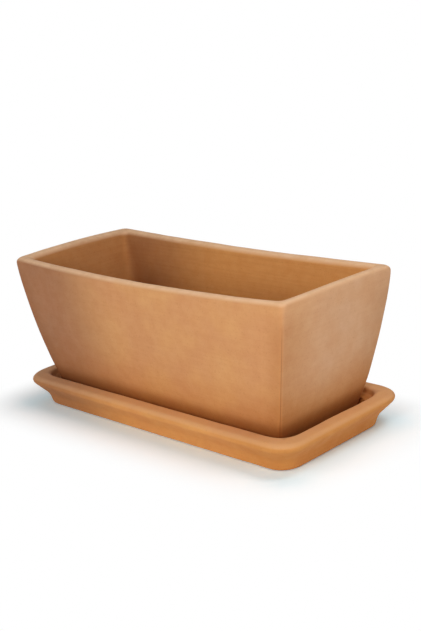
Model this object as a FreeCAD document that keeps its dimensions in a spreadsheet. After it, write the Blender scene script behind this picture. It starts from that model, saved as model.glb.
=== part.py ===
import FreeCAD, Part
import math
import os

import Sketcher

# A fired clay herb planter: a tapered trough that stands in its own saucer.
# Millimetres, +Z up, +X along the long side. The origin is on the ground, under the middle
# of the saucer.

# Every driving size: its name, its value and what it is.
SIZES = [
    ("trough_height", 120.9, "trough, from its foot to the rim at the corners"),
    ("rim_length", 304.3, "outline of the rim over the middle of its ends, before rounding"),
    ("rim_width", 134.6, "outline of the rim over the middle of its sides, before rounding"),
    ("end_margin", 0.9, "how far the saucer's lip stops short of an end of the rim's outline"),
    ("side_reach", 5.3, "how far the saucer's lip reaches out past a side of the rim's outline"),
    ("end_gap", 6.55, "water gap at an end, from the basin's wall to the trough's foot"),
    ("side_gap", 4.2, "water gap at a side, from the basin's wall to the trough's foot"),
    ("rim_corner", 8.5, "plan radius of the rim's corners"),
    ("rim_end_bow", 1.3, "how far an end of the rim bows out of its corners"),
    ("rim_side_bow", 2.6, "how far a side of the rim bows out of its corners"),
    ("rim_sag", 2.7, "how far a side of the rim dips at its middle"),
    ("rim_trim", 1.0, "clay above the rim that the dip is cut from"),
    ("rim_wall", 12.8, "wall at the rim"),
    ("rim_outer_round", 5.1, "rounding of the rim's outer edge"),
    ("rim_inner_round", 6.0, "rounding of the rim's inner edge"),
    ("shoulder_drop", 17.0, "depth below the rim at which the wall corners turn sharp"),
    ("wall_corner", 3.3, "plan radius of the wall corners below the shoulder"),
    ("end_bulge", 2.2, "how far an end wall bulges at half height"),
    ("side_bulge", 2.6, "how far a side wall bulges at half height"),
    ("foot_corner", 4.0, "plan radius of the foot's corners"),
    ("foot_bevel", 1.5, "bevel of the foot's lower edge"),
    ("foot_wall", 11.0, "wall just above the floor"),
    ("floor_thickness", 12.0, "trough, from its foot up to the inside floor"),
    ("hollow_corner", 14.0, "plan radius of the hollow's corners at the floor"),
    ("hollow_rim_corner", 8.0, "plan radius of the hollow's corners at the rim"),
    ("hollow_floor_round", 9.0, "rounding between the hollow's walls and floor"),
    ("foot_ring", 10.0, "width of the ring that the trough stands on"),
    ("recess_depth", 4.0, "depth of the recess inside the foot ring"),
    ("recess_corner", 5.0, "plan radius of the recess's corners"),
    ("notch_radius", 4.0, "radius of the drain notches through the foot ring"),
    ("notch_offset", 62.0, "drain notches, distance from the middle"),
    ("drain_diameter", 12.0, "drain holes"),
    ("drain_pitch", 78.0, "drain holes, distance from one to the next"),
    ("drain_count", 3, "drain holes in the row"),
    ("saucer_height", 26.0, "saucer, from the ground to the top of its lip"),
    ("saucer_floor", 9.0, "saucer, thickness of its floor"),
    ("basin_corner", 3.0, "plan radius of the basin's corners at the floor"),
    ("basin_inset", 21.5, "from the lip's outside to the foot of the basin's wall"),
    ("basin_lean", 1.5, "how far the basin's wall leans outwards up to the ledge"),
    ("lip_fall", 1.3, "how much the lip's top falls towards its outer edge"),
    ("ledge_drop", 4.6, "from the top of the lip down to the ledge's outer edge"),
    ("ledge_fall", 1.2, "how much the ledge falls towards its inner edge"),
    ("lip_wall", 15.0, "lip, thickness at the ledge"),
    ("lip_lean", 1.0, "how far the lip's inner face leans outwards"),
    ("lip_outer_round", 3.2, "rounding of the lip's upper outer edge"),
    ("lip_inner_round", 2.7, "rounding of the lip's upper inner edge"),
    ("lip_under_round", 4.0, "rounding of the lip's lower outer edge"),
    ("lip_depth", 7.2, "from the top of the lip down to its lower outer edge"),
    ("flare_inset", 12.2, "from the lip's outside to the start of the flare"),
    ("flare_drop", 13.7, "from the top of the lip down to the start of the flare"),
    ("flare_round", 6.0, "rounding of the hollow under the flare"),
    ("ledge_round", 1.2, "rounding of the ledge's inner edge"),
    ("ledge_hollow_round", 1.8, "rounding between the ledge and the lip"),
    ("base_inset", 14.6, "from the lip's outside to the saucer's base edge"),
    ("base_round", 1.5, "rounding of the saucer's base edge"),
    ("cut_overrun", 3.0, "how far a cutting shape runs past what it cuts"),
]

# The walls have an outline at each of these shares of their height.
WALL_SHARES = {"lower": 0.25, "waist": 0.5, "upper": 0.7}

# A rounding is never more than this share of the wall or step that carries it.
RIM_ROUND_SHARE = 0.47
LIP_OUTER_SHARE = 0.53
LIP_INNER_SHARE = 0.45
LIP_FACE_SHARE = 0.55
LIP_UNDER_SHARE = 0.75
LEDGE_DROP_SHARE = 0.6
LEDGE_HOLLOW_SHARE = 0.4

# An edge lies at a level when it is off it by less than this share of the foot's bevel.
LEVEL_SHARE = 0.01

document = FreeCAD.newDocument("herb_planter")
sheet = document.addObject("Spreadsheet::Sheet", "sizes")
for row, (alias, amount, meaning) in enumerate(SIZES, start=1):
    sheet.set(f"A{row}", meaning)
    sheet.set(f"B{row}", str(amount))
    sheet.setAlias(f"B{row}", alias)
document.recompute()


# The saucer is as long as the rim, and the trough's foot fits the saucer's basin.
SAUCER_LENGTH = "(sizes.rim_length - 2 * sizes.end_margin)"
SAUCER_WIDTH = "(sizes.rim_width + 2 * sizes.side_reach)"
BASIN_LENGTH = f"({SAUCER_LENGTH} - 2 * sizes.basin_inset)"
BASIN_WIDTH = f"({SAUCER_WIDTH} - 2 * sizes.basin_inset)"
FOOT_LENGTH = f"({BASIN_LENGTH} - 2 * sizes.end_gap)"
FOOT_WIDTH = f"({BASIN_WIDTH} - 2 * sizes.side_gap)"


def amount_of(expression):
    """The value that an expression on the sheet's sizes has now."""
    return float(sheet.evalExpression(expression))


def constrain(sketch, name, expression, kind, *places):
    """Adds a named dimension to a sketch and binds it to the sheet."""
    index = sketch.addConstraint(Sketcher.Constraint(kind, *places, amount_of(expression)))
    sketch.renameConstraint(index, name)
    sketch.setExpression(f"Constraints.{name}", expression)


def link(sketch, kind, *places):
    sketch.addConstraint(Sketcher.Constraint(kind, *places))


def new_body(name):
    body = document.addObject("PartDesign::Body", name)
    body.Label = name
    return body


def origin_part(body, role):
    return [item for item in body.Origin.OriginFeatures if item.Role == role][0]


def new_sketch(body, name, plane, height="0"):
    """An empty sketch on one of the body's own origin planes, raised by height."""
    sketch = body.newObject("Sketcher::SketchObject", name)
    sketch.AttachmentSupport = [(origin_part(body, plane), "")]
    sketch.MapMode = "FlatFace"
    sketch.setExpression("AttachmentOffset.Base.z", height)
    return sketch


def ring_of(sketch, sides, corners):
    """Joins four sides and four corner arcs into one smooth closed outline."""
    for place in range(4):
        link(sketch, "Tangent", sides[place], 2, corners[place], 1)
        link(sketch, "Tangent", corners[place], 2, sides[(place + 1) % 4], 1)
    for place in range(1, 4):
        link(sketch, "Equal", corners[0], corners[place])


def straight_outline(body, name, height, length, width, corner):
    """A rounded rectangle on a level plane; its sizes are expressions."""
    sketch = new_sketch(body, name, "XY_Plane", height)
    half_x = amount_of(length) / 2
    half_y = amount_of(width) / 2
    radius = amount_of(corner)
    x = half_x - radius
    y = half_y - radius
    ends = [
        ((-x, -half_y), (x, -half_y)),
        ((half_x, -y), (half_x, y)),
        ((x, half_y), (-x, half_y)),
        ((-half_x, y), (-half_x, -y)),
    ]
    sides = []
    for start, end in ends:
        line = Part.LineSegment(FreeCAD.Vector(*start, 0), FreeCAD.Vector(*end, 0))
        sides.append(sketch.addGeometry(line))
    corners = []
    for quarter, (sign_x, sign_y) in enumerate([(1, -1), (1, 1), (-1, 1), (-1, -1)]):
        centre = FreeCAD.Vector(sign_x * x, sign_y * y, 0)
        circle = Part.Circle(centre, FreeCAD.Vector(0, 0, 1), radius)
        start = (quarter - 1) * math.pi / 2
        corners.append(sketch.addGeometry(Part.ArcOfCircle(circle, start, start + math.pi / 2)))
    ring_of(sketch, sides, corners)
    link(sketch, "Horizontal", sides[2])
    link(sketch, "Vertical", sides[3])
    link(sketch, "Symmetric", sides[0], 1, sides[0], 2, -2)
    link(sketch, "Symmetric", sides[1], 1, sides[1], 2, -1)
    constrain(sketch, "over_length", length, "DistanceX", sides[3], 1, sides[1], 1)
    constrain(sketch, "over_width", width, "DistanceY", sides[0], 1, sides[2], 1)
    constrain(sketch, "corner", corner, "Radius", corners[0])
    return sketch


def bowed_outline(body, name, height, length, width, corner, end_bow, side_bow):
    """A rounded rectangle whose four sides are shallow arcs; its sizes are expressions."""
    sketch = new_sketch(body, name, "XY_Plane", height)
    half_x = amount_of(length) / 2
    half_y = amount_of(width) / 2
    radius = amount_of(corner)
    side_radius = f"((({length}) / 2)^2 + ({side_bow})^2) / (2 * ({side_bow}))"
    end_radius = f"((({width}) / 2)^2 + ({end_bow})^2) / (2 * ({end_bow}))"
    side_r = amount_of(side_radius)
    end_r = amount_of(end_radius)

    # The corner's centre lies a corner radius inside both arcs.
    side_centre = (0, side_r - half_y)
    end_centre = (half_x - end_r, 0)
    gap_x = end_centre[0] - side_centre[0]
    gap_y = end_centre[1] - side_centre[1]
    gap = math.hypot(gap_x, gap_y)
    reach = side_r - radius
    along = (reach**2 - (end_r - radius) ** 2 + gap**2) / (2 * gap)
    across = math.sqrt(reach**2 - along**2)
    corner_x = side_centre[0] + along * gap_x / gap - across * gap_y / gap
    corner_y = side_centre[1] + along * gap_y / gap + across * gap_x / gap

    side_turn = math.atan2(corner_x, side_centre[1] - corner_y)
    end_turn = math.atan2(-corner_y, corner_x - end_centre[0])
    spans = [
        ((0, side_centre[1]), side_r, -math.pi / 2, side_turn),
        ((end_centre[0], 0), end_r, 0, end_turn),
        ((0, -side_centre[1]), side_r, math.pi / 2, side_turn),
        ((-end_centre[0], 0), end_r, math.pi, end_turn),
    ]
    sides = []
    for centre, arc_radius, middle, turn in spans:
        circle = Part.Circle(FreeCAD.Vector(*centre, 0), FreeCAD.Vector(0, 0, 1), arc_radius)
        sides.append(sketch.addGeometry(Part.ArcOfCircle(circle, middle - turn, middle + turn)))
    corners = []
    for place, (sign_x, sign_y) in enumerate([(1, 1), (1, -1), (-1, -1), (-1, 1)]):
        centre = FreeCAD.Vector(sign_x * corner_x, sign_y * corner_y, 0)
        circle = Part.Circle(centre, FreeCAD.Vector(0, 0, 1), radius)
        start = spans[place][2] + spans[place][3]
        following = spans[(place + 1) % 4]
        end = following[2] - following[3]
        if end < start:
            end += 2 * math.pi
        corners.append(sketch.addGeometry(Part.ArcOfCircle(circle, start, end)))
    ring_of(sketch, sides, corners)
    for place, axis in enumerate([-2, -1, -2, -1]):
        link(sketch, "PointOnObject", sides[place], 3, axis)
    link(sketch, "Equal", sides[0], sides[2])
    link(sketch, "Equal", sides[1], sides[3])
    constrain(sketch, "side_arc", side_radius, "Radius", sides[0])
    constrain(sketch, "end_arc", end_radius, "Radius", sides[1])
    side_rise = f"{side_radius} - ({width}) / 2"
    end_rise = f"{end_radius} - ({length}) / 2"
    constrain(sketch, "side_rise", side_rise, "DistanceY", -1, 1, sides[0], 3)
    constrain(sketch, "back_rise", side_rise, "DistanceY", sides[2], 3, -1, 1)
    constrain(sketch, "end_rise", end_rise, "DistanceX", sides[1], 3, -1, 1)
    constrain(sketch, "far_rise", end_rise, "DistanceX", -1, 1, sides[3], 3)
    constrain(sketch, "corner", corner, "Radius", corners[0])
    return sketch


def loft(body, kind, name, sections):
    feature = body.newObject(f"PartDesign::{kind}", name)
    feature.Profile = sections[0]
    feature.Sections = sections[1:]
    document.recompute()
    return feature


def pocket_through(body, name, sketch, reverse=False, both_ways=False):
    """Cuts a sketch right through the body."""
    before = body.Shape.Volume
    feature = body.newObject("PartDesign::Pocket", name)
    feature.Profile = sketch
    feature.Type = "ThroughAll"
    feature.Midplane = both_ways
    feature.Reversed = reverse
    document.recompute()
    if body.Shape.Volume >= before:
        raise RuntimeError(f"{name} cuts nothing")
    return feature


def edge_names(feature, wanted):
    names = []
    for place, edge in enumerate(feature.Shape.Edges, start=1):
        if any(edge.isSame(other) for other in wanted):
            names.append(f"Edge{place}")
    return names


def fillet(body, name, feature, edges, radius):
    rounding = body.newObject("PartDesign::Fillet", name)
    rounding.Base = (feature, edge_names(feature, edges))
    rounding.setExpression("Radius", radius)
    document.recompute()
    return rounding


def trough():
    """The trough: bulging tapered walls, a dipping rounded rim, a foot ring and drain holes."""
    body = new_body("planter_trough")
    stock = "(sizes.trough_height + sizes.rim_trim)"
    levels = {name: f"({stock} * {share})" for name, share in WALL_SHARES.items()}
    shoulder = f"({stock} - sizes.shoulder_drop)"

    def taper(foot, rim, bulge, level):
        """A size over two opposite walls at a level: an even taper, and a parabola for each bulge."""
        share = f"({level} / {stock})"
        rise = f"(4 * {bulge} * {share} * (1 - {share}))"
        return f"({foot} + ({rim} - {foot}) * {share} + 2 * {rise})"

    def wall_size(level):
        length = taper(FOOT_LENGTH, "sizes.rim_length", "sizes.end_bulge", level)
        width = taper(FOOT_WIDTH, "sizes.rim_width", "sizes.side_bulge", level)
        end_bow = f"(sizes.rim_end_bow * {level} / {stock})"
        side_bow = f"(sizes.rim_side_bow * {level} / {stock})"
        return length, width, end_bow, side_bow

    def wall_outline(name, level, corner, inset="0"):
        length, width, end_bow, side_bow = wall_size(level)
        length = f"({length} - 2 * {inset})"
        width = f"({width} - 2 * {inset})"
        return bowed_outline(body, name, level, length, width, corner, end_bow, side_bow)

    # The foot's lower edge is bevelled, and the walls start on top of the bevel.
    tread = straight_outline(
        body,
        "tread_outline",
        "0",
        f"({FOOT_LENGTH} - 2 * sizes.foot_bevel)",
        f"({FOOT_WIDTH} - 2 * sizes.foot_bevel)",
        "(sizes.foot_corner - sizes.foot_bevel)",
    )
    foot_sizes = (FOOT_LENGTH, FOOT_WIDTH, "sizes.foot_corner")
    foot = straight_outline(body, "foot_outline", "sizes.foot_bevel", *foot_sizes)
    bevel = loft(body, "AdditiveLoft", "foot_edge", [tread, foot])
    bevel.Ruled = True
    outlines = [foot]
    for name, level in levels.items():
        outlines.append(wall_outline(f"{name}_outline", level, "sizes.wall_corner"))
    outlines.append(wall_outline("shoulder_outline", shoulder, "sizes.wall_corner"))
    outlines.append(wall_outline("rim_outline", stock, "sizes.rim_corner"))
    loft(body, "AdditiveLoft", "walls", outlines)

    # The rim dips along its sides, as one shallow arc seen from the front.
    dip = new_sketch(body, "dip_section", "XZ_Plane")
    half = "(sizes.rim_length / 2)"
    dip_radius = f"(({half}^2 + sizes.rim_sag^2) / (2 * sizes.rim_sag))"
    dip_centre = f"(sizes.trough_height - sizes.rim_sag + {dip_radius})"
    dip_reach = f"({half} + sizes.cut_overrun)"
    dip_top = f"({stock} + sizes.cut_overrun)"
    radius = amount_of(dip_radius)
    reach = amount_of(dip_reach)
    top = amount_of(dip_top)
    turn = math.asin(reach / radius)
    circle = Part.Circle(
        FreeCAD.Vector(0, amount_of(dip_centre), 0), FreeCAD.Vector(0, 0, 1), radius
    )
    arc = Part.ArcOfCircle(circle, -math.pi / 2 - turn, -math.pi / 2 + turn)
    left = arc.StartPoint
    right = arc.EndPoint
    top_right = FreeCAD.Vector(reach, top, 0)
    top_left = FreeCAD.Vector(-reach, top, 0)
    edges = [dip.addGeometry(arc)]
    for start, end in [(right, top_right), (top_right, top_left), (top_left, left)]:
        edges.append(dip.addGeometry(Part.LineSegment(start, end)))
    for place in range(4):
        link(dip, "Coincident", edges[place], 2, edges[(place + 1) % 4], 1)
    link(dip, "PointOnObject", edges[0], 3, -2)
    link(dip, "Vertical", edges[1])
    link(dip, "Horizontal", edges[2])
    link(dip, "Vertical", edges[3])
    constrain(dip, "arc_radius", dip_radius, "Radius", edges[0])
    constrain(dip, "arc_centre", dip_centre, "DistanceY", -1, 1, edges[0], 3)
    constrain(dip, "right_reach", dip_reach, "DistanceX", -1, 1, edges[2], 1)
    constrain(dip, "left_reach", dip_reach, "DistanceX", edges[2], 2, -1, 1)
    constrain(dip, "top", dip_top, "DistanceY", -1, 1, edges[2], 1)
    pocket_through(body, "rim_dip", dip, both_ways=True)

    # The hollow follows the walls, and its floor corners are softer.
    floor = "sizes.floor_thickness"
    hollow = [wall_outline("hollow_floor_outline", floor, "sizes.hollow_corner", "sizes.foot_wall")]
    for name, level in levels.items():
        share = f"(({level} - {floor}) / ({stock} - {floor}))"
        corner = f"(sizes.hollow_corner + (sizes.hollow_rim_corner - sizes.hollow_corner) * {share})"
        wall = f"(sizes.foot_wall + (sizes.rim_wall - sizes.foot_wall) * {share})"
        hollow.append(wall_outline(f"hollow_{name}_outline", level, corner, wall))
    hollow.append(
        wall_outline("hollow_rim_outline", stock, "sizes.hollow_rim_corner", "sizes.rim_wall")
    )
    opened = loft(body, "SubtractiveLoft", "hollow", hollow)

    # The rim is the one face that every point of the dip's arc lies on.
    rim = max(opened.Shape.Faces, key=lambda face: face.CenterOfMass.z)
    inner = [wire for wire in rim.Wires if not wire.isSame(rim.OuterWire)][0]
    limit = f"({RIM_ROUND_SHARE} * sizes.rim_wall)"
    inner_round = f"min(sizes.rim_inner_round; {limit})"
    outer_round = f"min(sizes.rim_outer_round; {limit})"
    rounded = fillet(body, "rim_inner_rounding", opened, inner.Edges, inner_round)
    rim = max(rounded.Shape.Faces, key=lambda face: face.CenterOfMass.z)
    rounded = fillet(body, "rim_outer_rounding", rounded, rim.OuterWire.Edges, outer_round)

    floor_level = amount_of(floor)
    tolerance = amount_of("sizes.foot_bevel") * LEVEL_SHARE
    floor_edges = []
    for edge in rounded.Shape.Edges:
        box = edge.BoundBox
        if abs(box.ZMin - floor_level) < tolerance and abs(box.ZMax - floor_level) < tolerance:
            floor_edges.append(edge)
    fillet(body, "floor_rounding", rounded, floor_edges, "sizes.hollow_floor_round")

    # The trough stands on a ring, so that water can leave its drain holes.
    recess_outline = straight_outline(
        body,
        "recess_outline",
        "0",
        f"({FOOT_LENGTH} - 2 * sizes.foot_ring)",
        f"({FOOT_WIDTH} - 2 * sizes.foot_ring)",
        "sizes.recess_corner",
    )
    before = body.Shape.Volume
    recess = body.newObject("PartDesign::Pocket", "recess")
    recess.Profile = recess_outline
    recess.Reversed = True
    recess.setExpression("Length", "sizes.recess_depth")
    document.recompute()
    if body.Shape.Volume >= before:
        raise RuntimeError("recess cuts nothing")

    notch_circle = new_sketch(body, "notch_circle", "XZ_Plane")
    notch_radius = amount_of("sizes.notch_radius")
    notch_place = FreeCAD.Vector(amount_of("sizes.notch_offset"), 0, 0)
    circle = Part.Circle(notch_place, FreeCAD.Vector(0, 0, 1), notch_radius)
    notch_circle.addGeometry(circle)
    link(notch_circle, "PointOnObject", 0, 3, -1)
    constrain(notch_circle, "radius", "sizes.notch_radius", "Radius", 0)
    constrain(notch_circle, "offset", "sizes.notch_offset", "DistanceX", -1, 1, 0, 3)
    notches = pocket_through(body, "notches", notch_circle, both_ways=True)
    mirror = body.newObject("PartDesign::Mirrored", "notches_mirrored")
    mirror.Originals = [notches]
    mirror.MirrorPlane = (origin_part(body, "YZ_Plane"), [""])
    body.Tip = mirror
    document.recompute()

    drain_circle = new_sketch(body, "drain_circle", "XY_Plane")
    first_drain = "(sizes.drain_pitch * (sizes.drain_count - 1) / 2)"
    drain_place = FreeCAD.Vector(-amount_of(first_drain), 0, 0)
    drain_radius = amount_of("sizes.drain_diameter / 2")
    drain_circle.addGeometry(Part.Circle(drain_place, FreeCAD.Vector(0, 0, 1), drain_radius))
    link(drain_circle, "PointOnObject", 0, 3, -1)
    constrain(drain_circle, "diameter", "sizes.drain_diameter", "Diameter", 0)
    constrain(drain_circle, "offset", first_drain, "DistanceX", 0, 3, -1, 1)
    drain = pocket_through(body, "drain", drain_circle, reverse=True)
    drains = body.newObject("PartDesign::LinearPattern", "drains")
    drains.Originals = [drain]
    drains.Direction = (origin_part(body, "X_Axis"), [""])
    drains.setExpression("Length", "sizes.drain_pitch * (sizes.drain_count - 1)")
    drains.setExpression("Occurrences", "sizes.drain_count")
    body.Tip = drains
    document.recompute()

    body.setExpression("Placement.Base.z", "sizes.saucer_floor")
    return body


def saucer():
    """The saucer: a flat floor and one wall section carried round a rounded rectangle."""
    body = new_body("saucer")
    path = straight_outline(
        body, "basin_outline", "0", BASIN_LENGTH, BASIN_WIDTH, "sizes.basin_corner"
    )

    # The floor reaches halfway under the wall.
    reach = "((sizes.basin_inset - sizes.base_inset) / 2)"
    plate = straight_outline(
        body,
        "floor_outline",
        "0",
        f"({BASIN_LENGTH} + 2 * {reach})",
        f"({BASIN_WIDTH} + 2 * {reach})",
        f"(sizes.basin_corner + {reach})",
    )
    floor = body.newObject("PartDesign::Pad", "floor")
    floor.Profile = plate
    floor.setExpression("Length", "sizes.saucer_floor")
    document.recompute()

    # Each corner of the wall section: its name, inset from the lip's outside, height, rounding.
    lip_top = "sizes.saucer_height"
    lip_edge = f"({lip_top} - sizes.lip_fall)"
    lip_under = f"({lip_top} - sizes.lip_depth)"
    lip_foot = f"({lip_top} - sizes.ledge_drop)"
    ledge = f"({lip_foot} - sizes.ledge_fall)"
    flare = f"({lip_top} - sizes.flare_drop)"
    lip_width = "(sizes.lip_wall - sizes.lip_lean)"
    ledge_inset = "(sizes.basin_inset - sizes.basin_lean)"
    lip_face = "(sizes.lip_depth - sizes.lip_fall)"
    outer_limit = f"min({LIP_OUTER_SHARE} * {lip_width}; {LIP_FACE_SHARE} * {lip_face})"
    inner_limit = f"min({LIP_INNER_SHARE} * {lip_width}; {LEDGE_DROP_SHARE} * sizes.ledge_drop)"
    outer_round = f"min(sizes.lip_outer_round; {outer_limit})"
    inner_round = f"min(sizes.lip_inner_round; {inner_limit})"
    under_round = f"min(sizes.lip_under_round; {LIP_UNDER_SHARE} * {lip_face})"
    hollow_round = f"min(sizes.ledge_hollow_round; {LEDGE_HOLLOW_SHARE} * sizes.ledge_drop)"
    corners = [
        ("basin_foot", "sizes.basin_inset", "0", None),
        ("base", "sizes.base_inset", "0", "sizes.base_round"),
        ("flare", "sizes.flare_inset", flare, "sizes.flare_round"),
        ("lip_under", "0", lip_under, under_round),
        ("lip_outer", "0", lip_edge, outer_round),
        ("lip_inner", lip_width, lip_top, inner_round),
        ("lip_foot", "sizes.lip_wall", lip_foot, hollow_round),
        ("ledge", ledge_inset, ledge, "sizes.ledge_round"),
    ]
    section = new_sketch(body, "wall_section", "YZ_Plane")
    out = [f"({SAUCER_WIDTH} / 2 - {inset})" for _, inset, _, _ in corners]
    points = []
    for across, (_, _, height, _) in zip(out, corners):
        points.append(FreeCAD.Vector(amount_of(across), amount_of(height), 0))
    count = len(corners)
    sides = []
    for place in range(count):
        line = Part.LineSegment(points[place], points[(place + 1) % count])
        sides.append(section.addGeometry(line))
    for place in range(count):
        link(section, "Coincident", sides[place], 2, sides[(place + 1) % count], 1)
    for place, (name, _, height, _) in enumerate(corners):
        constrain(section, f"{name}_out", out[place], "DistanceX", -1, 1, sides[place], 1)
        if height == "0":
            link(section, "PointOnObject", sides[place], 1, -1)
        else:
            constrain(section, f"{name}_up", height, "DistanceY", -1, 1, sides[place], 1)
    for place, (name, _, _, rounding) in enumerate(corners):
        if rounding is None:
            continue
        corner = points[place]
        before = (points[place - 1] + corner) / 2
        after = (points[(place + 1) % count] + corner) / 2
        first_new = section.GeometryCount
        radius = amount_of(rounding)
        section.fillet(sides[place - 1], sides[place], before, after, radius, True, True)
        constrain(section, f"{name}_round", rounding, "Radius", first_new)

    wall = body.newObject("PartDesign::AdditivePipe", "wall")
    wall.Profile = section
    wall.Spine = (path, [f"Edge{place}" for place in range(1, 9)])
    document.recompute()
    return body


parts = [saucer(), trough()]
document.recompute()

for item in document.Objects:
    if "Invalid" in item.State or "Error" in item.State:
        raise RuntimeError(f"{item.Label} failed: {item.State}")
for part in parts:
    shape = part.Shape
    if shape.isNull() or not shape.isValid() or len(shape.Solids) != 1:
        raise RuntimeError(f"{part.Label} is not one valid solid")
    print(part.Label, "volume", round(shape.Volume), "box", shape.BoundBox)

os.makedirs("parts", exist_ok=True)
for part in parts:
    part.Shape.exportStep(f"parts/{part.Label}.step")
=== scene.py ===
import math

import bmesh
import bpy
from mathutils import Matrix, Quaternion, Vector, noise


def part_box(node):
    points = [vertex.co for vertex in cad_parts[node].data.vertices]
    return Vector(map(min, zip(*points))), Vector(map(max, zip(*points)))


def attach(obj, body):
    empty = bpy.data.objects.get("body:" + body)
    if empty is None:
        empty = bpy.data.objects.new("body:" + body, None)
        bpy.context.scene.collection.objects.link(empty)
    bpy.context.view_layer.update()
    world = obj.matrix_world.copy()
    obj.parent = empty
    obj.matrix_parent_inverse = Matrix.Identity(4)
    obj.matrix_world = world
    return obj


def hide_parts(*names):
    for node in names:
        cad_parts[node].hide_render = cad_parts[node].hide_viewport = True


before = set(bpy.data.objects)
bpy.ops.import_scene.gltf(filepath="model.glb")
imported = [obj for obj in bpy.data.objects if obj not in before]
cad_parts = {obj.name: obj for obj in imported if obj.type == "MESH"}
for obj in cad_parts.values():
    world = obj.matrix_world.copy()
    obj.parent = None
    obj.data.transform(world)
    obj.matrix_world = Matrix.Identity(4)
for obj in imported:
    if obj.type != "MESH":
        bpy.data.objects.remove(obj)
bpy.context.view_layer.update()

# A fired clay herb planter: a tapered trough in its own saucer. Metres, +Z up, +X along the
# long side, -Y towards the front.
MM = 0.001
TROUGH_LOW, TROUGH_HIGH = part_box("planter_trough")
SAUCER_LOW, SAUCER_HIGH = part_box("saucer")

# Trough: a plan size is (along X, along Y), and a level is a height above the ground.
FOOT = TROUGH_LOW.z
RIM = TROUGH_HIGH.z
RIM_SIZE = (TROUGH_HIGH.x - TROUGH_LOW.x, TROUGH_HIGH.y - TROUGH_LOW.y)
FOOT_SIZE = (246.4 * MM, 93.8 * MM)
BULGE = (2.2 * MM, 2.6 * MM)
WALL_CORNER = 2.8 * MM
FOOT_CORNER_GAIN = 0.5 * MM
FOOT_TOP = FOOT + 4 * MM
SEAM_WIDTH = 0.7 * MM

# The rim, and the walls just below it, where the upright corners grow rounder.
RIM_WALL = 10.8 * MM
RIM_OUTER_ROUND = 4.4 * MM
RIM_INNER_ROUND = 5.2 * MM
RIM_SUPPORT = 1.8 * RIM_OUTER_ROUND
RIM_CORNER = 5 * MM
SHOULDER_DROP = 17 * MM

# How the rim left true as it dried: the middles of its ends and sides stand out from its
# corners, the sides sag, the ends arch, the front right corner lifts, and the back tilts down.
END_BOW = 0.8 * MM
SIDE_BOW = 2.6 * MM
SIDE_SAG = 3.3 * MM
END_ARCH = 0.9 * MM
CORNER_LIFT = 0.6 * MM
RIM_TILT = 0.9 * MM
TROUGH_WOBBLE = (70 * MM, 0.4 * MM)

# The hollow and its floor, with three drain holes.
FLOOR = FOOT + 12 * MM
FLOOR_ROUND = 9 * MM
FLOOR_SUPPORT = 1.3 * FLOOR_ROUND
FOOT_WALL = 11 * MM
HOLLOW_CORNER = 14 * MM
HOLLOW_RIM_CORNER = 5 * MM
DRAINS = (-78 * MM, 0.0, 78 * MM)
DRAIN_RADIUS = 6 * MM

# Under the trough: a ring to stand on round a recess, with notches that let water out.
FOOT_RING = 10 * MM
RECESS = FOOT + 4 * MM
RECESS_CORNER = 4 * MM
EDGE_SOFTNESS = 1.2 * MM
NOTCH_PLACE = 62 * MM
NOTCH_HALF_WIDTH = 5 * MM
NOTCH_RISE = 3 * MM

# Saucer: its wall section is given as (inset from the lip's outside, level, rounding), in
# millimetres, from its foot up its outside and down to its floor. Its corners lose a share of
# the inset from their radius. It stands a little to the right, its lip more than its foot.
LIP = SAUCER_HIGH.z
SAUCER_SIZE = (SAUCER_HIGH.x - SAUCER_LOW.x, SAUCER_HIGH.y - SAUCER_LOW.y)
LIP_CORNER = 19.5 * MM
CORNER_SHARE = 0.35
SAUCER_SECTION = [
    (13.5, 0.0, 2.4),
    (11.2, 9.6, 16.0),
    (1.6, 20.4, 4.0),
    (0.4, 23.8, 3.0),
    (4.0, 26.4, 5.0),
    (13.4, 27.0, 2.6),
    (15.0, 21.8, 1.8),
    (20.0, 20.2, 1.2),
    (21.5, 9.0, 1.5),
    (26.0, 9.0, 0.0),
]
BASE_RIM = 6 * MM
SAUCER_SLIP = 1.8 * MM
FOOT_SLIP_SHARE = 0.6
SAUCER_WOBBLE = (60 * MM, 0.45 * MM)

# Modelling steps: parts of an arc, the longest straight step, levels of smoothing, and the angle
# in degrees up to which shading runs on over an edge.
CORNER_STEPS = 4
ROUND_STEPS = 4
FOOT_ROUND_STEPS = 2
LONGEST_STEP = 22 * MM
SMOOTHING = 2
SMOOTH_ANGLE = 50

# A cut line runs beside each arc, this many radii and this much further from its sharp corner.
SUPPORT_SHARE = 1.3
SUPPORT_LEAST = 2 * MM

# Places closer than this count as the same, and a reach is stretched by this to take in its end.
TOUCH = 0.1 * MM
JUST_PAST = 1.001


def deselect():
    bpy.ops.object.select_all(action="DESELECT")


def apply_modifier(piece, modifier):
    deselect()
    piece.select_set(True)
    bpy.context.view_layer.objects.active = piece
    bpy.ops.object.modifier_apply(modifier=modifier.name)


def pick(piece, wanted):
    """In edit mode, selects the vertices that pass a test, and the edges and faces they bound."""
    mesh = bmesh.from_edit_mesh(piece.data)
    for vertex in mesh.verts:
        vertex.select = wanted(vertex)
    mesh.select_flush(True)
    mesh.select_flush(False)
    bmesh.update_edit_mesh(piece.data)


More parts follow.
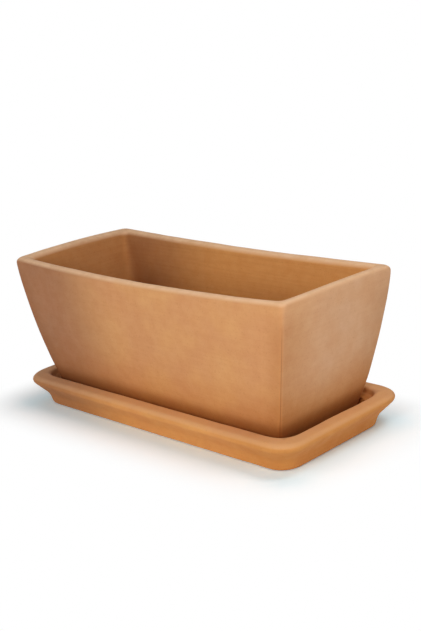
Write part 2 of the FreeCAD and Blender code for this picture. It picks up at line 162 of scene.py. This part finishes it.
def rounded(corners, steps=ROUND_STEPS):
    """The points of a line whose corners, given as (across, up, radius), are arcs."""
    points = []
    for place, (across, up, radius) in enumerate(corners):
        corner = Vector((across, up))
        if place in (0, len(corners) - 1) or radius == 0:
            points.append(corner)
            continue
        before = (Vector(corners[place - 1][:2]) - corner).normalized()
        after = (Vector(corners[place + 1][:2]) - corner).normalized()
        half_angle = before.angle(after) / 2
        centre = corner + (before + after).normalized() * radius / math.sin(half_angle)
        start = corner + before * radius / math.tan(half_angle) - centre
        end = corner + after * radius / math.tan(half_angle) - centre
        turn = start.angle_signed(end)
        for step in range(steps + 1):
            arm = start.copy()
            arm.rotate(Matrix.Rotation(-turn * step / steps, 2))
            points.append(centre + arm)
    return points


def stepped(points, longest=LONGEST_STEP):
    """The same line with extra points on its long straight runs."""
    line = [points[0]]
    for before, after in zip(points, points[1:]):
        count = math.ceil((after - before).length / longest)
        line += [before.lerp(after, step / count) for step in range(1, count + 1)]
    return line


class Ring:
    """A level outline: its plan size, its corner radius and how far its cut lines are spread.

    The support is how far from its sharp corners a cut line keeps each corner's arc tight.
    """

    def __init__(self, level, size, corner, spread=(1, 1)):
        self.level = level
        self.size = size
        self.corner = corner
        self.spread = spread
        self.support = SUPPORT_SHARE * corner + SUPPORT_LEAST


def start_piece(name, ring, lines):
    """A level plate with round corners, cut along lines in X and Y, in edit mode and selected."""
    deselect()
    bpy.ops.mesh.primitive_plane_add(size=1, location=(0, 0, ring.level))
    piece = bpy.context.object
    piece.name = name
    piece.data.name = name
    piece.scale = (*ring.size, 1)
    bpy.ops.object.transform_apply(location=True, rotation=True, scale=True)
    bpy.ops.object.mode_set(mode="EDIT")
    bpy.ops.mesh.select_mode(type="VERT")
    bpy.ops.mesh.select_all(action="SELECT")
    bpy.ops.mesh.bevel(offset=ring.corner, segments=CORNER_STEPS, affect="VERTICES")
    for axis, places in enumerate(lines):
        normal = (1, 0, 0) if axis == 0 else (0, 1, 0)
        edge = ring.size[axis] / 2 - ring.support
        for place in [-edge, *places, edge]:
            point = [place * part for part in normal]
            point[2] = ring.level
            bpy.ops.mesh.select_all(action="SELECT")
            bpy.ops.mesh.bisect(plane_co=point, plane_no=normal)
    bpy.ops.mesh.select_all(action="SELECT")
    return piece


def pull(piece, now, then):
    """Extrudes the selected cap from one ring to the next one."""
    bpy.ops.mesh.extrude_region_move(
        TRANSFORM_OT_translate={"value": (0, 0, then.level - now.level)}
    )
    cap = {v.index for v in bmesh.from_edit_mesh(piece.data).verts if v.select}
    growth = [new / old for new, old in zip(then.size, now.size)]
    middle = (0, 0, then.level)
    bpy.ops.transform.resize(value=(*growth, 1), center_override=middle)

    # Each corner is drawn in or out about its sharp point, which keeps its arc round.
    half = [size / 2 for size in then.size]
    reach = [now.corner * growth[axis] * JUST_PAST for axis in (0, 1)]
    rounding = [then.corner / (now.corner * growth[axis]) for axis in (0, 1)]
    for side_x in (-1, 1):
        for side_y in (-1, 1):
            def in_corner(vertex):
                across = half[0] - vertex.co.x * side_x
                along = half[1] - vertex.co.y * side_y
                return vertex.index in cap and across < reach[0] and along < reach[1]

            pick(piece, in_corner)
            point = (half[0] * side_x, half[1] * side_y, then.level)
            bpy.ops.transform.resize(value=(*rounding, 1), center_override=point)

    # The support lines keep their distance from the corners, and the other cut lines their spread.
    for axis in (0, 1):
        place = half[axis] - now.support * growth[axis]
        line = set()
        inner = set()
        for vertex in bmesh.from_edit_mesh(piece.data).verts:
            away = abs(vertex.co[axis]) - place
            if vertex.index in cap and abs(away) < TOUCH:
                line.add(vertex.index)
            elif vertex.index in cap and away < 0:
                inner.add(vertex.index)
        growths = [
            (line, (half[axis] - then.support) / place),
            (inner, then.spread[axis] / (now.spread[axis] * growth[axis])),
        ]
        for group, share in growths:
            pick(piece, lambda v: v.index in group)
            value = (share, 1, 1) if axis == 0 else (1, share, 1)
            bpy.ops.transform.resize(value=value, center_override=middle)
    pick(piece, lambda v: v.index in cap)


def smooth(piece, levels):
    modifier = piece.modifiers.new("rounding", "SUBSURF")
    modifier.levels = levels
    modifier.render_levels = levels
    apply_modifier(piece, modifier)
    bpy.ops.object.shade_smooth_by_angle(angle=math.radians(SMOOTH_ANGLE))


def warp(piece, low, high, counts, shift):
    """Bends a piece with a lattice between two corners, whose points move by shift(place)."""
    deselect()
    bpy.ops.object.add(type="LATTICE", location=(low + high) / 2)
    lattice = bpy.context.object
    size = high - low
    lattice.scale = size
    cage = lattice.data
    cage.points_u, cage.points_v, cage.points_w = counts
    for way in "uvw":
        setattr(cage, f"interpolation_type_{way}", "KEY_CATMULL_ROM")
    for point in cage.points:
        place = lattice.location + point.co * size
        move = shift(place)
        point.co_deform = point.co + Vector([m / s for m, s in zip(move, size)])
    modifier = piece.modifiers.new("warp", "LATTICE")
    modifier.object = lattice
    bpy.context.view_layer.update()
    apply_modifier(piece, modifier)
    bpy.data.objects.remove(lattice)


def press(piece, name, size, depth):
    """Soft unevenness left by hands: clouds of one size push the surface in and out."""
    texture = bpy.data.textures.new(name, "CLOUDS")
    texture.noise_scale = size
    texture.noise_depth = 1
    modifier = piece.modifiers.new(name, "DISPLACE")
    modifier.texture = texture
    modifier.texture_coords = "LOCAL"
    modifier.strength = depth
    modifier.mid_level = 0.5
    apply_modifier(piece, modifier)


def wall_size(level, inset=0.0):
    """The trough's plan size at a level: an even taper with a bulge at half height."""
    share = (level - FOOT) / (RIM - RIM_OUTER_ROUND - FOOT)
    rise = 4 * share * (1 - share)
    return [
        foot + (rim - foot) * share + 2 * bulge * rise - 2 * inset
        for foot, rim, bulge in zip(FOOT_SIZE, RIM_SIZE, BULGE)
    ]


def wall_corner(level, inset):
    """The trough's corner radius: nearly sharp walls, a rounder rim, and a soft hollow."""
    up = min(max((level - RIM + SHOULDER_DROP) / SHOULDER_DROP, 0), 1)
    outside = WALL_CORNER + (RIM_CORNER - WALL_CORNER) * up**2
    down = (RIM - level) / (RIM - FLOOR)
    inside = HOLLOW_RIM_CORNER + (HOLLOW_CORNER - HOLLOW_RIM_CORNER) * down
    share = min(max(inset / RIM_WALL, 0), 1)
    return outside + (inside - outside) * share


def trough():
    """The trough, pulled in one go from the recess under it, up its walls and down to its floor."""
    # A drain starts as a ring of eight points, which smoothing draws in by this share, and a
    # cut line runs at half the width of the square that they are turned from.
    drawn_in = (2 + math.cos(math.pi / 4)) / 3
    drain_line = 2 * DRAIN_RADIUS / drawn_in / (1 + math.sqrt(2))

    # Cut lines also run past the notches, and between them and the drains, to keep faces even.
    lines_x = []
    for side in (-1, 1):
        for place in (22 * MM, 40 * MM, 84 * MM):
            lines_x.append(side * place)
        for place in (-NOTCH_HALF_WIDTH, 0, NOTCH_HALF_WIDTH):
            lines_x.append(side * (NOTCH_PLACE + place))
    for drain in DRAINS:
        lines_x += [drain - drain_line, drain, drain + drain_line]
    lines_y = [-12 * MM, -drain_line, 0, drain_line, 12 * MM]

    under_size = [size - 2 * (FOOT_RING + EDGE_SOFTNESS) for size in FOOT_SIZE]
    now = Ring(RECESS, under_size, RECESS_CORNER)
    piece = start_piece("clay_trough", now, (lines_x, lines_y))

    # Under the foot: the recess's wall, the ring that it stands on and its outer edge.
    foot_section = [
        (FOOT_RING + EDGE_SOFTNESS, RECESS, 0),
        (FOOT_RING, RECESS, EDGE_SOFTNESS / 2),
        (FOOT_RING, FOOT, EDGE_SOFTNESS),
        (0, FOOT, EDGE_SOFTNESS),
        (0, FOOT_TOP, 0),
    ]
    for inset, level in rounded(foot_section, FOOT_ROUND_STEPS)[1:]:
        size = [foot - 2 * inset for foot in FOOT_SIZE]
        then = Ring(level, size, WALL_CORNER + (1 - inset / FOOT_RING) * FOOT_CORNER_GAIN)
        pull(piece, now, then)
        now = then

    # The walls, the rim and the hollow. A ring just under the rim keeps its rounding tight, and
    # the last one keeps the floor flat.
    section = [
        (0, FOOT_TOP, 0),
        (0, RIM - SHOULDER_DROP, 0),
        (0, RIM - RIM_SUPPORT, 0),
        (0, RIM, RIM_OUTER_ROUND),
        (RIM_WALL, RIM, RIM_INNER_ROUND),
        (RIM_WALL, RIM - SHOULDER_DROP, 0),
        (FOOT_WALL, FLOOR, FLOOR_ROUND),
        (FOOT_WALL + FLOOR_SUPPORT, FLOOR, 0),
    ]
    for inset, level in stepped(rounded(section))[1:]:
        outside = wall_size(level)
        spread = [out / foot for out, foot in zip(outside, FOOT_SIZE)]
        corner = wall_corner(level, inset)
        if level < FLOOR + FLOOR_ROUND and inset > FOOT_WALL:
            corner -= inset - FOOT_WALL
            spread = (1, 1)
        then = Ring(level, wall_size(level, inset), corner, spread)
        pull(piece, now, then)
        now = then

    # The drain holes: a square of four faces opens in both floors, turns round and is joined.
    # The corner reaches a little past the square's own.
    for drain in DRAINS:
        middle = Vector((drain, 0))
        corner = 1.1 * math.sqrt(2) * drain_line
        pick(piece, lambda v: on_floors(v) and (v.co.xy - middle).length < corner)
        bpy.ops.mesh.delete(type="FACE")
        for level in (RECESS, FLOOR):
            pick(piece, lambda v: at_level(v, level) and (v.co.xy - middle).length < corner)
            bpy.ops.transform.tosphere(value=1, center_override=(drain, 0, level))
        pick(piece, lambda v: on_floors(v) and (v.co.xy - middle).length < corner)
        bpy.ops.mesh.bridge_edge_loops(number_cuts=1)

    # The drain notches: grooves under the long sides of the foot ring.
    def in_notch(vertex):
        beside = abs(abs(vertex.co.x) - NOTCH_PLACE) < MM
        on_ring = abs(vertex.co.y) > FOOT_SIZE[1] / 2 - FOOT_RING - MM
        return beside and on_ring and vertex.co.z < FOOT + 2 * MM

    pick(piece, in_notch)
    bpy.ops.transform.translate(value=(0, 0, NOTCH_RISE))
    bpy.ops.mesh.select_all(action="SELECT")
    bpy.ops.mesh.normals_make_consistent(inside=False)
    bpy.ops.object.mode_set(mode="OBJECT")
    return piece


def at_level(vertex, level):
    return abs(vertex.co.z - level) < TOUCH


def on_floors(vertex):
    return at_level(vertex, RECESS) or at_level(vertex, FLOOR)


def saucer():
    """The saucer, pulled from its base up its outside, over the lip and down to its floor."""
    section = [[part * MM for part in corner] for corner in SAUCER_SECTION]
    base = (section[0][0] + BASE_RIM, 0, 0)
    line = stepped(rounded([base] + section))
    lines_x = [side * place for side in (-1, 1) for place in (15 * MM, 50 * MM, 90 * MM)]
    lines_y = [side * place for side in (-1, 1) for place in (8 * MM, 24 * MM)]

    def ring(point):
        inset, level = point
        size = [over - 2 * inset for over in SAUCER_SIZE]
        return Ring(level, size, LIP_CORNER - CORNER_SHARE * inset)

    now = ring(line[0])
    piece = start_piece("clay_saucer", now, (lines_x, lines_y))
    for point in line[1:]:
        then = ring(point)
        pull(piece, now, then)
        now = then
    bpy.ops.mesh.select_all(action="SELECT")
    bpy.ops.mesh.normals_make_consistent(inside=False)
    bpy.ops.object.mode_set(mode="OBJECT")
    return piece


# The seed gives the noise below the same offsets at every run.
noise.seed_set(1)


def hand_wobble(place, size, depth):
    return noise.noise_vector(place / size) * depth


def trough_shift(place):
    """The trough's rim out of true, fading down its walls, and a slight wobble.

    Here u and v are the place's shares of the way from the middle to an end and to a side.
    """
    share = min(max((place.z - FOOT) / (RIM - FOOT), 0), 1)
    size = wall_size(place.z)
    u = place.x / (size[0] / 2)
    v = place.y / (size[1] / 2)
    near_rim = share**3
    bow_x = -u * END_BOW * share * v**2
    bow_y = -v * SIDE_BOW * share * u**2
    lift = CORNER_LIFT * max(u, 0) ** 3 * max(-v, 0) ** 3
    tilt = RIM_TILT * (v if v > 0 else v * (1 + u) / 2)
    dip = (END_ARCH * (1 - v**2) * u**2 - SIDE_SAG * (1 - u**2) + lift - tilt) * near_rim
    wobble = hand_wobble(place, *TROUGH_WOBBLE) * share
    return Vector((bow_x, bow_y, dip)) + wobble


def saucer_shift(place):
    """The saucer's slip to the right and its own slight wobble, taken a few metres away."""
    share = min(max(place.z / LIP, 0), 1)
    slip_share = FOOT_SLIP_SHARE + (1 - FOOT_SLIP_SHARE) * share
    slip = Vector((SAUCER_SLIP * slip_share, 0, 0))
    return slip + hand_wobble(place + Vector((1, 2, 3)), *SAUCER_WOBBLE) * share


# Colours of the clay, in sRGB: a cooler and a hotter tone for each piece, and the coats that
# cover or multiply them.
TROUGH_TONES = ("#d69a66", "#dba168")
SAUCER_TONES = ("#e2a66d", "#e7ae71")
# Painted light: the deeper orange inside stands for warm light thrown about in the hollow.
PAINTED_INSIDE_LIGHT = "#dc9c56"
# Painted light: the right end's outside is paler and greyer, as it is lit.
PAINTED_LIT_END = "#dcae86"
# Clay dust with a painted highlight, on the rounded edges.
CLAY_DUST_AND_SHEEN = "#f6cba2"
MOTTLED = "#ead0c0"
WIPED = "#d8b8a4"
GROG = "#b98a6a"
# Painted shade: the left end darker and greyer.
PAINTED_LEFT_SHADE = "#c5bccb"
# Painted shade: darker low down towards the right end.
PAINTED_NEAR_END_SHADE = "#e8dcc2"
# Painted shade, darker and a deeper orange low down.
PAINTED_LOW_SHADE = "#fbe8bc"
# Painted shade: darkest at the trough's foot and in the saucer's hollow.
PAINTED_FOOT_SHADE = "#dac5a2"
# Painted shade beside the upright corners.
PAINTED_CORNER_SHADE = "#f0e8de"
MOULD_SEAM = "#c8b4a4"

# Patterns in the clay, as (size of a feature, detail, stretch): patches from the firing,
# mottling, grains of grog, drawn coarse enough to show, and wiping marks, 2 mm apart and about
# 60 mm long, round the walls.
EVEN = (1, 1, 1)
PATCHES = (50 * MM, 2.0, EVEN)
MOTTLING = (9 * MM, 4.0, EVEN)
GRAIN = (1.3 * MM, 2.0, EVEN)
WIPING = (2 * MM, 2.0, (0.035, 0.035, 1))

# How much each of them, and the seam, stands up, as shares of the bump's height.
RELIEF_HEIGHT = 0.5 * MM
RELIEF_STRENGTH = 0.6
MOTTLING_RELIEF = 0.6
WIPING_RELIEF = 0.03
GRAIN_RELIEF = 0.14
SEAM_RELIEF = -0.3


def colour(hex_code):
    """A linear colour from an sRGB hex value."""
    parts = [int(hex_code[place : place + 2], 16) / 255 for place in (1, 3, 5)]
    linear = [c / 12.92 if c <= 0.04045 else ((c + 0.055) / 1.055) ** 2.4 for c in parts]
    return (*linear, 1)


def add_node(tree, kind, inputs=None, output=0, **settings):
    """Adds a node with its settings, values and links, and gives one of its outputs."""
    node = tree.nodes.new(kind)
    for name, value in settings.items():
        setattr(node, name, value)
    for name, value in (inputs or {}).items():
        if isinstance(value, bpy.types.NodeSocket):
            tree.links.new(value, node.inputs[name])
        else:
            node.inputs[name].default_value = value
    return node.outputs[output] if node.outputs else None


def coat_share(tree, factors):
    """How much of a coat shows: a product of factors.

    A factor is an output or the name of a mark. Where it is (source, from, to, least, most), it is
    a soft step of that source, which runs from 0 to 1 if the last two are left out.
    """
    share = None
    for factor in factors:
        source, *limits = factor if isinstance(factor, tuple) else (factor,)
        if isinstance(source, str):
            source = add_node(tree, "ShaderNodeAttribute", output="Fac", attribute_name=source)
        if limits:
            inputs = dict(zip(("From Min", "From Max", "To Min", "To Max"), limits))
            inputs["Value"] = source
            source = add_node(
                tree, "ShaderNodeMapRange", inputs, interpolation_type="SMOOTHSTEP"
            )
        if share is not None:
            source = add_node(tree, "ShaderNodeMath", {0: share, 1: source}, operation="MULTIPLY")
        share = source
    return share


def terracotta(name, tones, offset, shade_mark):
    """Unglazed earthenware, pressed in a mould and fired.

    To the eye: quite matt, slightly uneven in tone where the kiln was hotter, rubbed pale with
    clay dust on its rounded edges, with faint wiping marks along the walls. Painted light and
    shade lie over this: a highlight on the rounded edges, a deeper orange inside for the warm
    light thrown about there, a paler right end as it is lit, and shade at the left end, the
    corners, the low walls and the foot. The offset moves the patterns from piece to piece.
    Without a mark of its own, the darkest painted shade is at the foot.
    """
    material = bpy.data.materials.new(name)
    material.use_nodes = True
    tree = material.node_tree
    shader = tree.nodes["Principled BSDF"]
    place = add_node(tree, "ShaderNodeTexCoord", output="Object")
    along, across, up = add_node(tree, "ShaderNodeSeparateXYZ", {"Vector": place}).node.outputs
    moved = add_node(tree, "ShaderNodeMapping", {"Vector": place, "Location": offset})
    patterns = []
    for size, detail, stretch in (PATCHES, MOTTLING, GRAIN, WIPING):
        stretched = add_node(tree, "ShaderNodeMapping", {"Vector": moved, "Scale": stretch})
        inputs = {"Vector": stretched, "Scale": 1 / size, "Detail": detail, "Roughness": 0.6}
        patterns.append(add_node(tree, "ShaderNodeTexNoise", inputs))
    patches, mottling, grain, wiping = patterns
    wander = {0: patches, 1: 0.7, 2: 0.55}
    uneven = add_node(tree, "ShaderNodeMath", wander, operation="MULTIPLY_ADD")
    coats = [
        # The hotter tone in patches; a deeper orange inside, painted for the warm light thrown
        # about in the hollow; and the right end's outside, painted paler as it is lit.
        (tones[1], "MIX", [(patches, 0.35, 0.65)]),
        (PAINTED_INSIDE_LIGHT, "MIX", ["inside"]),
        (
            PAINTED_LIT_END,
            "MIX",
            [
                "end",
                (patches, 0.3, 0.6, 0.6, 1),
                (up, 20 * MM, 70 * MM, 0.4, 1),
                (across, -55 * MM, -5 * MM, 0.45, 1),
            ],
        ),
        # Mottling, wiping marks, which show more inside, and dark grains.
        (MOTTLED, "MULTIPLY", [(mottling, 0.3, 0.7, 0, 0.2)]),
        (WIPED, "MULTIPLY", [(wiping, 0.35, 0.7), ("inside", 0, 1, 0.06, 0.15)]),
        (GROG, "MULTIPLY", [(grain, 0.55, 0.75, 0, 0.18)]),
        # Painted shade: the left end is darker and greyer, where less light reaches it.
        (PAINTED_LEFT_SHADE, "MULTIPLY", [("cool", 0, 1), uneven]),
        # Painted shade towards the saucer: darker and a deeper orange low down, most of all at the
        # right end, and darkest at the trough's foot and in the saucer's hollow.
        (PAINTED_NEAR_END_SHADE, "MULTIPLY", [(along, 70 * MM, 130 * MM, 0, 0.7), (up, 75 * MM, 10 * MM)]),
        (PAINTED_LOW_SHADE, "MULTIPLY", [(up, 75 * MM, 10 * MM, 0, 0.8)]),
        (PAINTED_FOOT_SHADE, "MULTIPLY", [shade_mark or (up, 37 * MM, 23 * MM)]),
        # Dust and a painted highlight on the rounded edges, painted shade at the upright corners,
        # and the dark mould seams.
        (CLAY_DUST_AND_SHEEN, "MIX", ["edge", (mottling, 0.2, 0.7, 0.6, 1)]),
        (PAINTED_CORNER_SHADE, "MULTIPLY", ["corner"]),
        (MOULD_SEAM, "MULTIPLY", ["seam", (patches, 0.3, 0.6, 0.35, 1)]),
    ]
    tone = colour(tones[0])
    for coat, blend, factors in coats:
        inputs = {0: coat_share(tree, factors), 6: tone, 7: colour(coat)}
        tone = add_node(
            tree, "ShaderNodeMix", inputs, output=2, data_type="RGBA", blend_type=blend
        )

    relief = 0.0
    seam = coat_share(tree, ["seam"])
    for source, height in (
        (mottling, MOTTLING_RELIEF),
        (wiping, WIPING_RELIEF),
        (grain, GRAIN_RELIEF),
        (seam, SEAM_RELIEF),
    ):
        raised = {0: source, 1: height, 2: relief}
        relief = add_node(tree, "ShaderNodeMath", raised, operation="MULTIPLY_ADD")
    bump = {"Height": relief, "Distance": RELIEF_HEIGHT, "Strength": RELIEF_STRENGTH}

    tree.links.new(tone, shader.inputs["Base Color"])
    tree.links.new(coat_share(tree, [(mottling, 0.2, 0.8, 0.72, 0.9)]), shader.inputs["Roughness"])
    tree.links.new(add_node(tree, "ShaderNodeBump", bump), shader.inputs["Normal"])
    shader.inputs["Specular IOR Level"].default_value = 0.35
    return material


def mark(piece, name, amount):
    """Keeps a number per vertex, worked out from its place and normal, for the material."""
    layer = piece.data.attributes.new(name, "FLOAT", "POINT")
    values = [amount(vertex.co, vertex.normal) for vertex in piece.data.vertices]
    layer.data.foreach_set("value", values)


def ramp(value, low, high):
    """How far a value is from one limit to another, from 0 to 1."""
    return min(max((value - low) / (high - low), 0), 1)


def trough_inset(place):
    """How far a place lies in from the nearest end and from the nearest side of the trough."""
    return [size / 2 - abs(part) for size, part in zip(wall_size(place.z), place)]


def trough_inside(place, normal):
    """The walls and floor of the hollow."""
    return ramp(min(trough_inset(place)), 6 * MM, 11 * MM) * ramp(place.z, FLOOR - MM, FLOOR)


def trough_edge(place, normal):
    """The rim's crown, pale with dust and a painted highlight where it faces up."""
    return 0.85 * ramp(place.z, RIM - 9 * MM, RIM - 3 * MM) * ramp(normal.z, 0.3, 0.85)


def left_end_shade(place, normal):
    """Painted shade: how much darker and greyer the clay is painted, more towards the left end."""
    return ramp(place.x, -15 * MM, -112 * MM)


def trough_left_shade(place, normal):
    """The same painted shade, but less on the inside of the left end wall, which faces the light.
    """
    facing = trough_inside(place, normal) * ramp(normal.x, 0.3, 0.8)
    return left_end_shade(place, normal) * (1 - 0.35 * facing)


def trough_lit_end(place, normal):
    """The right end's outside, painted paler and greyer than the other walls as it is lit."""
    return ramp(normal.x, 0.6, 0.95) * ramp(place.x, 100 * MM, 120 * MM)


def trough_seam(place, normal):
    """The mould's seam: a thin line down each upright corner."""
    insets = trough_inset(place)
    if max(insets) > 2 * WALL_CORNER or min(insets) < -MM:
        return 0
    height = ramp(place.z, FOOT, FOOT + 8 * MM) * ramp(place.z, RIM - 14 * MM, RIM - 26 * MM)
    return (1 - ramp(abs(insets[0] - insets[1]), 0, SEAM_WIDTH)) * height


def trough_corner_shade(place, normal):
    """Painted shade on both sides of the upright corners, where less light falls.

    It reaches further across the ends than along the sides.
    """
    insets = trough_inset(place)
    height = ramp(place.z, RIM - 6 * MM, RIM - 22 * MM)
    reach = 18 * MM + 18 * MM * ramp(abs(normal.x), 0.6, 0.95)
    return (1 - ramp(max(insets), 4 * MM, reach)) * height


def saucer_edge(place, normal):
    """The crown of the lip, with less dust and painted highlight than the rim."""
    return 0.3 * ramp(place.z, 21 * MM, 24 * MM) * ramp(normal.z, 0.2, 0.8)


def saucer_hollow_shade(place, normal):
    """How far inside the lip a place lies, where painted shade darkens the saucer's hollow."""
    insets = [size / 2 - abs(part) for size, part in zip(SAUCER_SIZE, place)]
    outward = sum(n * part / size for n, part, size in zip(normal, place, SAUCER_SIZE))
    inside = ramp(outward, 0.15, 0.05)
    return inside * ramp(min(insets), 13.5 * MM, 16 * MM) * ramp(place.z, 3 * MM, 6 * MM)


def finish_piece(piece, marks, box, cage, shift, pressing):
    """Smooths a piece, keeps its marks, and bends and presses it softly out of true."""
    smooth(piece, SMOOTHING)
    for name, amount in marks.items():
        mark(piece, name, amount)
    low, high = box
    margin = Vector((MM, MM, MM))
    warp(piece, low - margin, high + margin, cage, shift)
    press(piece, *pressing)


def dress():
    """Both pieces, each standing for its CAD node."""
    pot = trough()
    pot_marks = {
        "inside": trough_inside,
        "cool": trough_left_shade,
        "edge": trough_edge,
        "end": trough_lit_end,
        "seam": trough_seam,
        "corner": trough_corner_shade,
    }
    pot_box = (TROUGH_LOW, TROUGH_HIGH)
    pot_pressing = ("trough_pressing", 30 * MM, 0.5 * MM)
    finish_piece(pot, pot_marks, pot_box, (9, 5, 5), trough_shift, pot_pressing)

    dish = saucer()
    dish_marks = {"cool": left_end_shade, "edge": saucer_edge, "hollow": saucer_hollow_shade}
    dish_box = (SAUCER_LOW, SAUCER_HIGH)
    dish_pressing = ("saucer_pressing", 25 * MM, 0.4 * MM)
    finish_piece(dish, dish_marks, dish_box, (9, 5, 3), saucer_shift, dish_pressing)

    clays = [
        terracotta("pressed_terracotta_trough", TROUGH_TONES, (0.3, 0.1, 0), None),
        terracotta("pressed_terracotta_saucer", SAUCER_TONES, (0.7, 0.9, 0), "hollow"),
    ]
    rides = [(pot, "trough", "planter_trough"), (dish, "saucer", "saucer")]
    for clay, (piece, body, node) in zip(clays, rides):
        piece.data.materials.clear()
        piece.data.materials.append(clay)
        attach(piece, body)
        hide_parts(node)


# Camera, ground and light.
CAMERA_PLACE = (0.65769, -0.63633, 0.35633)
CAMERA_YAW = math.radians(45.23)
CAMERA_PITCH = math.radians(-16.69)
CAMERA_ROLL = math.radians(-4.86)
CAMERA_LENS = 67.1

# The floor is just under the saucer. Seen by the camera it is blue beside the clay, against the
# warm light thrown there, opens out to nearly white, and turns plain white further away. Each
# change is given as (start, end), from the saucer's foot.
WHITE = (1, 1, 1, 1)
GROUND_WIDTH = 8
GROUND_GAP = 0.2 * MM
GROUND_GREY = (0.93, 0.93, 0.93, 1)
GROUND_BESIDE = (1.0, 1.26, 1.36, 1)
GROUND_OPEN = (1.29, 1.37, 1.4, 1)
OPENING = (3 * MM, 35 * MM)
WHITENING = (10 * MM, 62 * MM)
WORLD_STRENGTH = 0.15

# Square soft lamps that face the middle of the object: name, place, width and watts.
SOFTBOXES = [
    ("top_left", (-0.9, 0.3, 1.5), 0.9, 1.8),
    ("top_back", (0.0, 1.0, 1.4), 0.9, 3.0),
    ("front_left", (-1.0, -1.4, 0.7), 0.8, 5.8),
    ("near_front", (0.35, -0.8, 0.4), 0.3, 3.0),
    ("near_right", (0.75, -0.1, 0.3), 0.3, 1.1),
    ("high_right", (0.45, 0.1, 0.8), 0.3, 1.3),
]


def make_camera():
    camera = bpy.data.objects.new("camera", bpy.data.cameras.new("camera"))
    bpy.context.collection.objects.link(camera)
    camera.data.lens = CAMERA_LENS
    camera.location = CAMERA_PLACE
    camera.rotation_mode = "QUATERNION"
    turn = Quaternion((0, 0, 1), CAMERA_YAW)
    tilt = Quaternion((1, 0, 0), math.pi / 2 + CAMERA_PITCH)
    roll = Quaternion((0, 0, 1), CAMERA_ROLL)
    camera.rotation_quaternion = turn @ tilt @ roll
    bpy.context.scene.camera = camera


def background_rays(tree):
    """1 for the rays that show the background: the camera's own, and those in gloss and glass."""
    rays = add_node(tree, "ShaderNodeLightPath").node.outputs
    shown = rays["Is Camera Ray"]
    for kind in ("Is Glossy Ray", "Is Transmission Ray"):
        shown = add_node(tree, "ShaderNodeMath", {0: shown, 1: rays[kind]}, operation="MAXIMUM")
    return shown


def make_ground():
    """A pale floor that turns white to the camera where no shadow falls, and far away."""
    deselect()
    bpy.ops.mesh.primitive_plane_add(size=GROUND_WIDTH, location=(0, 0, -GROUND_GAP))
    floor = bpy.context.object
    floor.name = "floor"
    material = bpy.data.materials.new("white_card")
    material.use_nodes = True
    tree = material.node_tree
    tree.nodes.clear()

    # The distance on the floor from the saucer's foot, taken as a rectangle that is tall enough
    # for its height not to count.
    foot_inset = SAUCER_SECTION[0][0] * MM
    foot = [size / 2 - foot_inset for size in SAUCER_SIZE] + [1]
    nothing = (0, 0, 0)
    reach = add_node(tree, "ShaderNodeTexCoord", output="Object")
    for operation, other in (("ABSOLUTE", nothing), ("SUBTRACT", foot), ("MAXIMUM", nothing)):
        inputs = {0: reach, 1: other}
        reach = add_node(tree, "ShaderNodeVectorMath", inputs, operation=operation)
    reach = add_node(
        tree, "ShaderNodeVectorMath", {0: reach}, output="Value", operation="LENGTH"
    )
    opening = coat_share(tree, [(reach, *OPENING)])
    whitening = coat_share(tree, [(reach, *WHITENING)])

    tint = {0: opening, 6: GROUND_BESIDE, 7: GROUND_OPEN}
    near_tone = add_node(tree, "ShaderNodeMix", tint, output=2, data_type="RGBA")
    near = add_node(tree, "ShaderNodeBsdfDiffuse", {"Color": near_tone})
    far = add_node(tree, "ShaderNodeEmission", {"Color": WHITE})
    seen = add_node(tree, "ShaderNodeMixShader", {0: whitening, 1: near, 2: far})
    plain = add_node(tree, "ShaderNodeBsdfDiffuse", {"Color": GROUND_GREY})
    card = add_node(tree, "ShaderNodeMixShader", {0: background_rays(tree), 1: plain, 2: seen})
    add_node(tree, "ShaderNodeOutputMaterial", {"Surface": card})
    floor.data.materials.append(material)


def make_world():
    """Soft light from all round, which the camera sees as white."""
    world = bpy.data.worlds.new("soft_surround")
    bpy.context.scene.world = world
    world.use_nodes = True
    tree = world.node_tree
    tree.nodes.clear()
    glow = {"Color": WHITE, "Strength": WORLD_STRENGTH}
    soft = add_node(tree, "ShaderNodeBackground", glow)
    white = add_node(tree, "ShaderNodeBackground", {"Color": WHITE, "Strength": 1.0})
    surround = {0: background_rays(tree), 1: soft, 2: white}
    both = add_node(tree, "ShaderNodeMixShader", surround)
    add_node(tree, "ShaderNodeOutputWorld", {"Surface": both})


def make_lamps():
    middle = Vector((0, 0, RIM / 2))
    for name, place, width, watts in SOFTBOXES:
        data = bpy.data.lights.new(name, "AREA")
        data.size = width
        data.energy = watts
        lamp = bpy.data.objects.new(name, data)
        bpy.context.collection.objects.link(lamp)
        lamp.location = place
        aim = middle - lamp.location
        lamp.rotation_euler = aim.to_track_quat("-Z", "Y").to_euler()


make_camera()
make_ground()
make_world()
make_lamps()
dress()

bpy.context.scene.view_settings.view_transform = "Standard"
